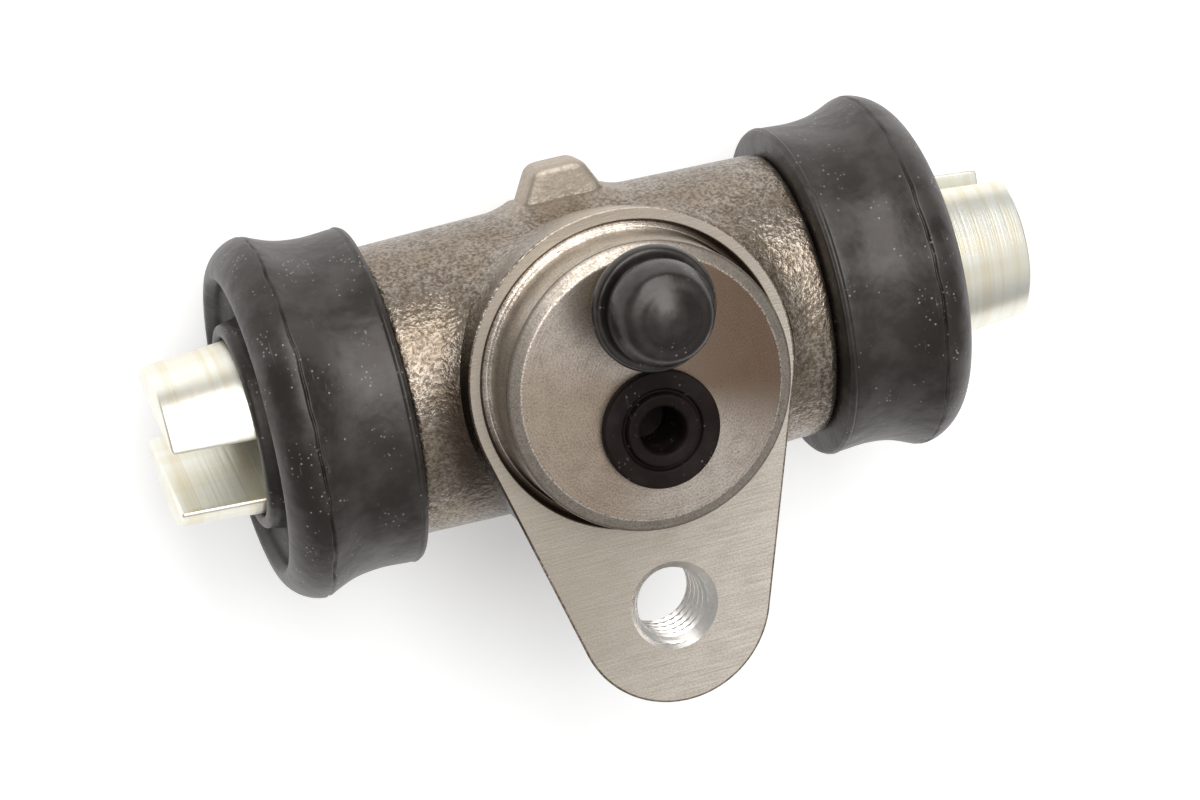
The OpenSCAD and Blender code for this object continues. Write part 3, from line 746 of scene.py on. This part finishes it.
def cast_flange():
    """The surfaces of flange, spigot, boss and holes, as grids with the number of a finish."""
    walls = flange_rim()
    bolt_hole = (bolt_y, bolt_r + bolt_sink)
    top, rays = split_face(walls[0, :-1, :2], face_level, [(0, groove_r + groove_land), bolt_hole], 0)
    back, _ = split_face(walls[-1, :-1, :2], face_level, [(0, boss_r + boss_fillet), bolt_hole],
                         -flange_t, rays)
    foot = (groove_r - groove_slope, -relief_depth * 2 / 3)
    slope = soft_corners([(groove_r + groove_land, 0, 0), (groove_r, 0, groove_cut), (*foot, 0)])
    bed = smooth_curve([foot, *((spigot_r + off, -relief_depth * share) for off, share in bed_places),
                        (spigot_r, foot_h)], 6)
    face_r = spigot_r - chamfer_w
    side = soft_corners([(spigot_r, foot_h, 0), (spigot_r, spigot_h - chamfer_h, spigot_cut),
                         (face_r, spigot_h, face_cut), (face_r - face_land, spigot_h, 0)])
    boss = soft_corners([(boss_r + boss_fillet, -flange_t, 0), (boss_r, -flange_t, boss_fillet),
                         (boss_r, axis_z, 0), (0, axis_z, 0)])
    spigot = turned_z(side, rays[0])
    ports, port_rays = split_face(spigot[-1, :-1, :2], port_level,
                                  [(bleed_y, bleed_r), (inlet_y, inlet_r + inlet_sink)], spigot_h)
    bolt, bolt_z = thread(rays[1], 0, -flange_t, bolt_r, bolt_thread, bolt_pitch,
                          (bolt_sink, bolt_sink), bolt_rows)
    end, seat = spigot_h - inlet_depth, spigot_h - bleed_depth
    inlet, inlet_z = thread(port_rays[1], spigot_h, end, inlet_r, inlet_thread, inlet_pitch,
                            (inlet_sink, 0), inlet_rows)
    feed = np.array([(feed_r, end - inlet_r + feed_r), (feed_r, axis_z), (0, axis_z)])
    feed = feed[..., None] + 0 * port_rays[1]
    inlet, inlet_z = np.vstack([inlet, feed[:, 0]]), np.vstack([inlet_z, feed[:, 1]])
    vent = np.array([(bleed_r, spigot_h), (bleed_r, seat), (vent_r, seat - bleed_r + vent_r),
                     (vent_r, axis_z), (0, axis_z)])
    cast = [walls, *back, turned_z(resampled(boss, boss_step), rays[0])]
    turned = [spigot, *ports, turned_z(slope, rays[0]), turned_z(bed, rays[0]),
              on_axis(inlet, inlet_z, port_rays[1], inlet_y), turned_z(vent, port_rays[0], bleed_y)]
    groups = [cast, top, turned, [on_axis(bolt, bolt_z, rays[1], bolt_y)]]
    return [[clear_of_bore(grid) for grid in group] for group in groups]


flange = make_piece("cast_flange", cast_flange(), [cast_skin, milled_iron, turned_iron, cut_iron])

# %% [markdown]
# ## The cast lug
#
# A small lug stands on the far side of the barrel, where the casting was fed or located. It is a loft:
# rounded rectangles, each a superellipse, that shrink towards the top and pull in quickly at its edge.

# %% Cast lug
lug_round, lug_power, lug_root = 0.8, 6.0, 3.0


def cast_lug(rows=28, round_rows=12, columns=96):
    """Superellipses from inside the barrel to the lug's top, drawn in by a quarter circle at the edge."""
    edge_y = lug_top - lug_round
    y = np.concatenate([np.linspace(barrel_end_r - lug_root, edge_y, rows),
                        edge_y + lug_round * np.sin(np.linspace(0, math.pi / 2, round_rows))])
    inset = lug_round - np.sqrt(np.maximum(lug_round ** 2 - np.maximum(y - edge_y, 0) ** 2, 0))
    a = full_turn(columns)
    across, deep = (np.sign(wave) * np.abs(wave) ** (2 / lug_power) for wave in (np.cos(a), np.sin(a)))
    wide = (lug_top_w / 2 + lug_slope * (lug_top - y) - inset)[:, None]
    tall = (lug_len / 2 - inset)[:, None]
    return capped(together(wide * across, y[:, None], axis_z + tall * deep))


lug = make_piece("cast_lug", [cast_lug()], [cast_skin])

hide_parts("spigot")
for piece in (barrel, flange, lug):
    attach(piece, "housing")
    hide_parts("cylinder_body")

# %% [markdown]
# ## The dust boots
#
# Each boot is moulded in one piece: a rolled lip that grips the neck, a waist, a rim, a round crest, a trench
# inside it and a collar that wipes the piston. It is a smooth curve turned round the bore. A mould closes at
# the rim, so a fine seam runs round there.

# %% Boots
boot_low, boot_high = box_mm("right_boot")
boot_rim_r = (boot_high[1] - boot_low[1]) / 2
boot_end = boot_high[0]
lip_h, waist_h, waist_set, rim_set = 3.5, 3.25, 4.3, 9.9
boot_gap, boot_wall = 0.1, 1.9
bead_mid, bead_end, bead_line = 0.75, 1.12, 0.2
end_w, end_h, end_power = 3.05, 3.6, 1.8
trench_r, trench_depth, collar_w, collar_out, collar_in = 12.4, 2.15, 1.15, 0.6, 0.3
seam_depth, seam_w, seam_wander = 0.28, 0.13, 0.10
# Places on the boot's end, as (radius, distance) from the crest and the collar's foot, tip and edge.
off_crest = np.array([(0, 0), (-0.35, -0.12), (-0.8, -trench_depth / 3)])
off_foot = np.array([(1.3, 0.15), (0.5, trench_depth / 3)])
off_tip = np.array([(0.2, -0.3 - collar_out), (0, -0.2), (-0.45, 0)])
off_edge = np.array([(0.2, -0.08), (0, -0.35)])


def boot_profile():
    """The outline as (radius, distance from the barrel's shoulder): a rolled lip with a fine line behind
    it, a sleeve, a superellipse from rim to crest, a trench, a collar and the hollow behind."""
    wall, inner_r = boot_wall, neck_r + boot_gap
    wipe, lip, waist = piston_r + boot_gap, neck_r + lip_h, neck_r + waist_h
    crest, top = boot_rim_r - end_w, rim_set + end_h
    bed, collar, tip = top - trench_depth, wipe + collar_w, top + collar_out
    slope_r = (crest + trench_r) / 2
    rolled = smooth_curve([
        (neck_r + lip_h / 2, bead_mid / 5), (lip - bead_mid / 2, bead_mid * 2 / 5),
        (lip - bead_mid / 6, bead_mid * 2 / 3), (lip, bead_mid),
        (lip - bead_line / 4, (bead_mid + bead_end) / 2), (lip - bead_line, bead_end)], 7)
    sleeve = smooth_curve([
        (lip - bead_line, bead_end), (lip - bead_line / 2, bead_end + bead_line), (waist, waist_set),
        ((3 * waist + boot_rim_r) / 4, (waist_set + rim_set) / 2), (boot_rim_r, rim_set)], 12)
    a = np.linspace(0, math.pi / 2, 40)
    round_r, round_d = np.cos(a) ** (2 / end_power), np.sin(a) ** (2 / end_power)
    end = together(crest + end_w * round_r, rim_set + end_h * round_d)
    mouth = smooth_curve(np.vstack([
        (crest, top) + off_crest, (slope_r, bed + trench_depth / 4), (trench_r, bed),
        (collar, bed) + off_foot, (collar, tip) + off_tip, (wipe, tip) + off_edge]), 8)
    inside = smooth_curve([
        (wipe, bed - wall / 5), (collar - collar_in, bed - wall * 3 / 5), (trench_r, bed - wall),
        (slope_r, bed - wall * 4 / 5), (crest - wall / 8, top - wall * 3 / 2),
        (crest + wall / 3, top - wall * 4 / 3), (boot_rim_r - wall * 10 / 9, rim_set + wall / 4),
        (boot_rim_r - wall * 3 / 2, rim_set - wall / 3), (inner_r, rim_set - wall)], 6)
    near = rim_set + seam_w * np.linspace(-2, 2, 13)
    rim = np.vstack([sleeve, end[1:]])
    seam = together(np.interp(near, rim[:, 1], rim[:, 0]), near)
    before, after = sleeve[sleeve[:, 1] < near[0]], end[end[:, 1] > near[-1]]
    grip = (inner_r, bead_mid / 5)
    return np.vstack([rolled[:-1], before, seam, after[:-1], mouth, inside, grip, rolled[:1]])


def boot_grid(sign, columns=240):
    """The profile turned round the bore, with the mould's seam sunk into the rim. Sums of sines of the
    angle make the seam wander and change its depth."""
    profile = boot_profile()
    grid = turned_x(profile + (0, barrel_half), columns, sign)
    a = np.linspace(0, 2 * math.pi, columns + 1)
    wander = seam_wander * (np.sin(7 * a + 1) + np.sin(17 * a + 2) + 0.7 * np.sin(31 * a)) / 2
    depth = seam_depth * (0.75 + 0.25 * np.sin(13 * a) * np.sin(29 * a + 1))
    from_seam = (profile[:, 1:] - rim_set) / seam_w
    outer = profile[:, :1] > boot_rim_r - end_w / 3
    sink = depth * np.exp(-from_seam ** 2) * outer
    grid[..., 0] += sign * wander * np.exp(-(from_seam / 8) ** 2) * outer
    radial = grid[..., 1:] - (0, axis_z)
    grid[..., 1:] -= radial / np.linalg.norm(radial, axis=-1, keepdims=True) * sink[..., None]
    return grid


for side, sign in SIDES:
    boot = make_piece(side + "_dust_boot", [[boot_grid(sign)]], [boot_rubber])
    side + "_seal"
    sign * (barrel_half + rim_set) * MM
    sign * boot_end * MM
    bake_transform(boot)
    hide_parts(side + "_boot")

# %% [markdown]
# ## The pistons
#
# A piston is a turned plug with a slot sawn across its outer end, which leaves two prongs. Its skin is
# stitched from a round body, a slot floor and two lofted prongs. A prong's section is a circle's cap: an arc,
# a straight chord and two small rounds between them. The rounds start at nothing on the slot's floor, so that
# body, floor and prongs share their points there.

# %% Pistons
slot_w, slot_depth = 6.8, 11.2
taper_len, taper_drop, taper_start = 10.6, 0.85, 0.4
piston_edge, slot_edge, least_edge = 0.3, 0.25, 1e-6
edge_rise = np.array([0, 0.1, 0.3, 0.6])  # heights over the slot's floor at which its edges grow round
ARC, CHORD, CORNER, SLOT, SIDE, SHUT = 72, 33, 7, 25, 14, 5  # numbers of points and rows


def prong_section(radius, chord, edge):
    """Loops, one for each entry of the arrays: an arc of the radius, rounded into a chord at that
    distance from the middle."""
    radius, chord, edge = (np.asarray(v, float)[:, None] for v in (radius, chord, edge))
    meet = np.arcsin((chord + edge) / (radius - edge))
    arc = meet + (math.pi - 2 * meet) * np.linspace(0, 1, ARC)
    turn = (math.pi / 2 + meet) * np.linspace(0, 1, CORNER)
    left, right = math.pi - meet + turn, -math.pi / 2 + turn
    across, up = (radius - edge) * np.cos(meet), chord + edge
    line = across * np.linspace(-1, 1, CHORD)
    v = [radius * np.cos(arc), -across + edge * np.cos(left), line, across + edge * np.cos(right)]
    w = [radius * np.sin(arc), up + edge * np.sin(left), chord + 0 * line, up + edge * np.sin(right)]
    return together(np.concatenate(v, axis=1), np.concatenate(w, axis=1))


def piston_grids(sign, turn_deg, shift):
    """Body, slot floor and two prongs along the bore, to the side of sign, turned and shifted."""
    floor, half, edge_d = piston_reach - slot_depth, slot_w / 2, piston_reach - piston_edge
    fast = np.linspace(0, math.pi / 2, CORNER)[1:]
    d = np.concatenate([floor + edge_rise, np.linspace(piston_reach - taper_len + taper_start, edge_d, SIDE),
                        edge_d + piston_edge * np.sin(fast)])
    inset = np.concatenate([np.zeros(len(edge_rise) + SIDE), piston_edge * (1 - np.cos(fast))])
    edge = slot_edge * np.clip((d - floor) / edge_rise[-1], 0, 1) + least_edge
    taper = taper_drop * np.clip((d - piston_reach + taper_len) / (taper_len - piston_edge), 0, 1)
    section = prong_section(piston_r - taper - inset, half + inset, edge)
    middle = section[-1].mean(axis=0)
    shut = middle + (section[-1] - middle) * np.linspace(1, 0, SHUT)[1:, None, None]
    section = np.concatenate([section, shut])
    d = np.concatenate([d, np.full(len(shut), piston_reach)])
    rim = section[0, :ARC]
    w = np.linspace(half, -half, SLOT)
    sides = together(np.sqrt(piston_r ** 2 - w ** 2), w)
    bed = together(sides[:, None, 0] * np.linspace(-1, 1, CHORD), w[:, None])
    ring = np.vstack([rim, sides[1:-1] * (-1, 1), -rim, sides[-2:0:-1]])
    body_d = np.array([piston_back, piston_back, piston_back + piston_edge, floor])
    grow = np.array([0, piston_r - piston_edge, piston_r, piston_r]) / piston_r
    flat = [(closed(ring * grow[:, None, None]), body_d), (bed, np.full(SLOT, floor)),
            (closed(section), d), (closed(-section), d)]
    turn = math.radians(turn_deg)
    made = []
    for grid, along in flat:
        v, w = grid[..., 0], grid[..., 1]
        y, z = v * math.cos(turn) - w * math.sin(turn), v * math.sin(turn) + w * math.cos(turn)
        made.append(together(shift + sign * along[:, None], y, axis_z + z))
    return made


for side, sign, turn_deg, shift in (("left", -1, -70, left_set), ("right", 1, 0, 0.0)):
    piston = make_piece(side + "_slotted_piston", [piston_grids(sign, turn_deg, shift)], [zinc_plate])
    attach(piston, side + "_piston")
    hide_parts(side + "_piston")

# %% [markdown]
# ## The bleeder's cap and the transit plug
#
# Both are small rubber mouldings, round about an upright axis. The cap has a rolled rim, a groove, a dome and
# a low nub. The plug has a flange, a raised ring with a gutter round it, and a blind hole that a finger can
# feel.

# %% Cap and plug
cap_low, cap_high = box_mm("bleeder_cap")
plug_low, plug_high = box_mm("inlet_plug")
cap_rim_r, cap_rim_h, cap_dome_r, cap_hollow_r = (cap_high[0] - cap_low[0]) / 2, 1.7, 4.95, 3.0
cap_top = 1.8
plug_r = (plug_high[0] - plug_low[0]) / 2
plug_flange_t, plug_hole_r, plug_ring_w, plug_stem_r = 1.1, 2.15, 1.45, 4.4
ROUND = full_turn(160)


def cap_profile():
    """The cap's outline as (radius, height): a smooth curve outside and a plain hollow inside."""
    tall = cap_high[2] - cap_low[2]
    nub_r, nub_h, groove, edge = cap_dome_r / 2, cap_top / 3, cap_rim_h / 3, cap_rim_r / 8
    hollow = tall - cap_top
    outside = smooth_curve([
        (cap_rim_r - edge, 0), (cap_rim_r - edge / 5, edge / 2), (cap_rim_r, cap_rim_h * 3 / 5),
        (cap_rim_r - edge / 2, cap_rim_h), (cap_dome_r - edge / 2, cap_rim_h),
        (cap_dome_r - edge / 2, cap_rim_h + groove), (cap_dome_r, cap_rim_h + 2 * groove),
        (cap_dome_r - edge / 4, tall * 3 / 5), (cap_dome_r - edge * 5 / 4, tall * 4 / 5),
        (nub_r + edge / 2, tall - 3 * nub_h / 2), (nub_r - edge / 4, tall - nub_h),
        (nub_r / 2, tall - nub_h / 4), (0, tall)], 10)
    inside = np.array([(0, hollow), (cap_hollow_r, hollow), (cap_hollow_r, 0), (cap_rim_r - edge, 0)])
    return np.vstack([outside, inside]) + (0, cap_low[2])


def plug_profile():
    """The plug's outline as (radius, height): straight stretches with rounded corners."""
    edge = plug_flange_t / 3
    ring_r, ring_top, gutter = plug_hole_r + plug_ring_w, plug_flange_t + edge, plug_flange_t - edge
    stem = spigot_h - plug_low[2]
    point = stem / 6
    return soft_corners([
        (0, -stem, 0), (plug_stem_r - 2 * edge, -stem, 0.3), (plug_stem_r, point - stem, 0.3),
        (plug_stem_r, 0, 0.05), (plug_r, 0, 0.15), (plug_r, plug_flange_t, 0.35),
        (ring_r + edge, plug_flange_t, 0.12), (ring_r + edge / 2, gutter, 0.1), (ring_r, gutter, 0.1),
        (ring_r - edge / 2, ring_top, 0.25), (plug_hole_r + edge / 2, ring_top - edge / 2, 0.25),
        (plug_hole_r, gutter, 0.3), (plug_hole_r, point - stem, 0.2), (0, point - stem, 0)]) + (0, spigot_h)


cap = make_piece("bleeder_dust_cap", [[turned_z(cap_profile(), ROUND, bleed_y)]], [cap_rubber])
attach(cap, "bleeder_cap")
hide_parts("bleeder_cap")
plug = make_piece("inlet_transit_plug", [[turned_z(plug_profile(), ROUND, inlet_y)]], [plug_rubber])
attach(plug, "inlet_plug")
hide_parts("inlet_plug")

# %% [markdown]
# ## The spring
#
# A coil spring holds the two cups against their pistons. It is made as two halves, one to each side of
# the middle. A round wire is carried along a helix, and its section leans with the pitch.

# %% Spring
spring_low, spring_high = box_mm("return_spring")
wire_r, spring_turns = 0.55, 8
coil_r = (spring_high[1] - spring_low[1]) / 2 - wire_r
spring_mid = (spring_low[0] + spring_high[0]) / 2
spring_travel = (spring_high[0] - spring_low[0]) / 2 - wire_r


def spring_half(sign, rows=160, sides=16):
    """Half of a helix: x = travel times (2 share - 1) at the angle share times all turns, with the
    wire's circle round it and a disc at each end."""
    share = 0.5 + sign * np.linspace(0, 0.5, rows)[:, None]
    turn = 2 * math.pi * spring_turns * share
    lean = math.atan(spring_travel / (spring_turns * math.pi * coil_r))
    a = full_turn(sides)
    radius, along = coil_r + wire_r * np.cos(a), wire_r * np.sin(a)
    back = along * math.sin(lean)
    x = spring_mid + spring_travel * (2 * share - 1) + along * math.cos(lean)
    return capped(together(x, radius * np.cos(turn) + back * np.sin(turn),
                           axis_z + radius * np.sin(turn) - back * np.cos(turn)))


for side, sign in SIDES:
    half = make_piece(side + "_spring_half", [spring_half(sign)], [spring_steel])
    side + "_seal"
    (spring_mid + sign * spring_travel) * MM
    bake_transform(half)
    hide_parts("return_spring")

# %% [markdown]
# ## The CAD pieces that stay
#
# The bleeder screw, the cups and their expanders already have the right shape, and most of them can't be seen
# from outside. They keep their solids and only get a finish.

# %% Finishes for the CAD nodes
kept = {"bleeder_screw": yellow_plate, "left_cup": plug_rubber, "right_cup": plug_rubber,
        "left_cup_expander": spring_steel, "right_cup_expander": spring_steel}
for name, finish in kept.items():
    mesh = frame["nodes"][name].data
    mesh.materials.clear()
    mesh.materials.append(finish)
print("finished", len(kept), "CAD nodes")

# %% [markdown]
# ## Floor and light
#
# The part lies on a white table. One large soft lamp stands behind it, so that the barrel's top and the rims
# glint, and the sky has a softbox where the flat faces mirror it. The floor keeps the shadows. For the rays
# that are seen, straight, in reflections or through glass, it glows a little on top, which makes it paper
# white, and it glows less by the tail, where the photo has a wide shadow. The world isn't lifted.

# %% Floor and world
floor_z = boot_low[2]
floor_half = 900.0
floor_white = (0.72, 0.716, 0.712, 1)
floor_glow = 0.45
# A painted shadow: the floor glows less within a round place by the tail.
shade_x, shade_y, shade_near, shade_far, shade_depth = -3.0, -20.0, 2.0, 23.0, 0.5
sky_low, sky_high = 0.39, 0.85
softbox, softbox_edge, softbox_core = (0.235, -0.26, 0.936), 0.62, 0.95


def floor_finish():
    """White diffuse floor that glows a little for the rays that are seen, and less by the tail as a painted
    shadow.
    """
    paper = Finish("paper_floor")
    x, y, _, _ = paper.where()
    x, y = x - shade_x, y - shade_y
    square = x * x + y * y
    painted_shadow = 1 - paper.step(square.math("SQRT", square), shade_near, shade_far)
    glow = paper.seen() * (1 - shade_depth * painted_shadow)
    paper.set(Base_Color=floor_white, Roughness=0.9, Specular_IOR_Level=0.0,
              Emission_Color=paper.tint(glow, (0, 0, 0), (1.0, 1.0, 1.0)), Emission_Strength=floor_glow)
    return paper.material


reach = np.array([[(-1, -1, 0), (1, -1, 0)], [(-1, 1, 0), (1, 1, 0)]]) * floor_half
floor = make_piece("floor", [[reach + (0, 0, floor_z)]], [floor_finish()])

world = bpy.data.worlds.new("studio")
bpy.context.scene.world = world
world.use_nodes = True
sky = Tree(world.node_tree)
background = sky.tree.nodes["Background"].inputs
sky.put(background["Color"], (1.0, 1.0, 1.0, 1.0))
x, y, z = sky.axes(sky.node("TexCoord", output="Generated"))
towards = sky.step(x * softbox[0] + y * softbox[1] + z * softbox[2], softbox_edge, softbox_core)
sky.put(background["Strength"], sky_low + (sky_high - sky_low) * towards)

# %% Lamp
key_place, key_aim = Vector((20, 345, 495)) * MM, Vector((0, 0, -16)) * MM
key_wide, key_tall, key_power = 440, 680, 4.0
data = bpy.data.lights.new("key", "AREA")
data.shape, data.size, data.size_y, data.energy = "RECTANGLE", key_wide * MM, key_tall * MM, key_power
lamp = into_scene("key", data)
lamp.location = key_place
lamp.rotation_euler = (key_aim - key_place).to_track_quat("-Z", "Y").to_euler()
print(f"lamp {lamp.name}: {key_power} W")

# %% [markdown]
# ## The camera
#
# The camera stands where the photograph was taken: steeply above the part and a little to its left, with a
# long lens. Its place and its two directions were fitted to the round edges of the spigot, flange and boots.
# The lens is given for a frame 36 millimetres wide, and the picture is three parts wide and two parts high.

# %% Camera
camera_place = Vector((-85.64, 89.35, 326.61)) * MM
camera_right = Vector((0.9429, -0.1726, 0.2848)).normalized()
camera_look = Vector((0.2351, -0.2606, -0.9364)).normalized()
frame_mm, focal_px, picture_px = 36.0, 3717.25, 1200
camera_up = camera_right.cross(camera_look)
data = bpy.data.cameras.new("camera")
data.sensor_width = frame_mm
data.lens = focal_px / picture_px * frame_mm
data.clip_start, data.clip_end = 0.01, 10
camera = into_scene("camera", data)
turn = Matrix((camera_right, camera_up, -camera_look)).transposed().to_4x4()
camera.matrix_world = Matrix.Translation(camera_place) @ turn
bpy.context.scene.camera = camera
bpy.context.scene.view_settings.view_transform = "Standard"
print(f"lens {data.lens:.1f} mm")
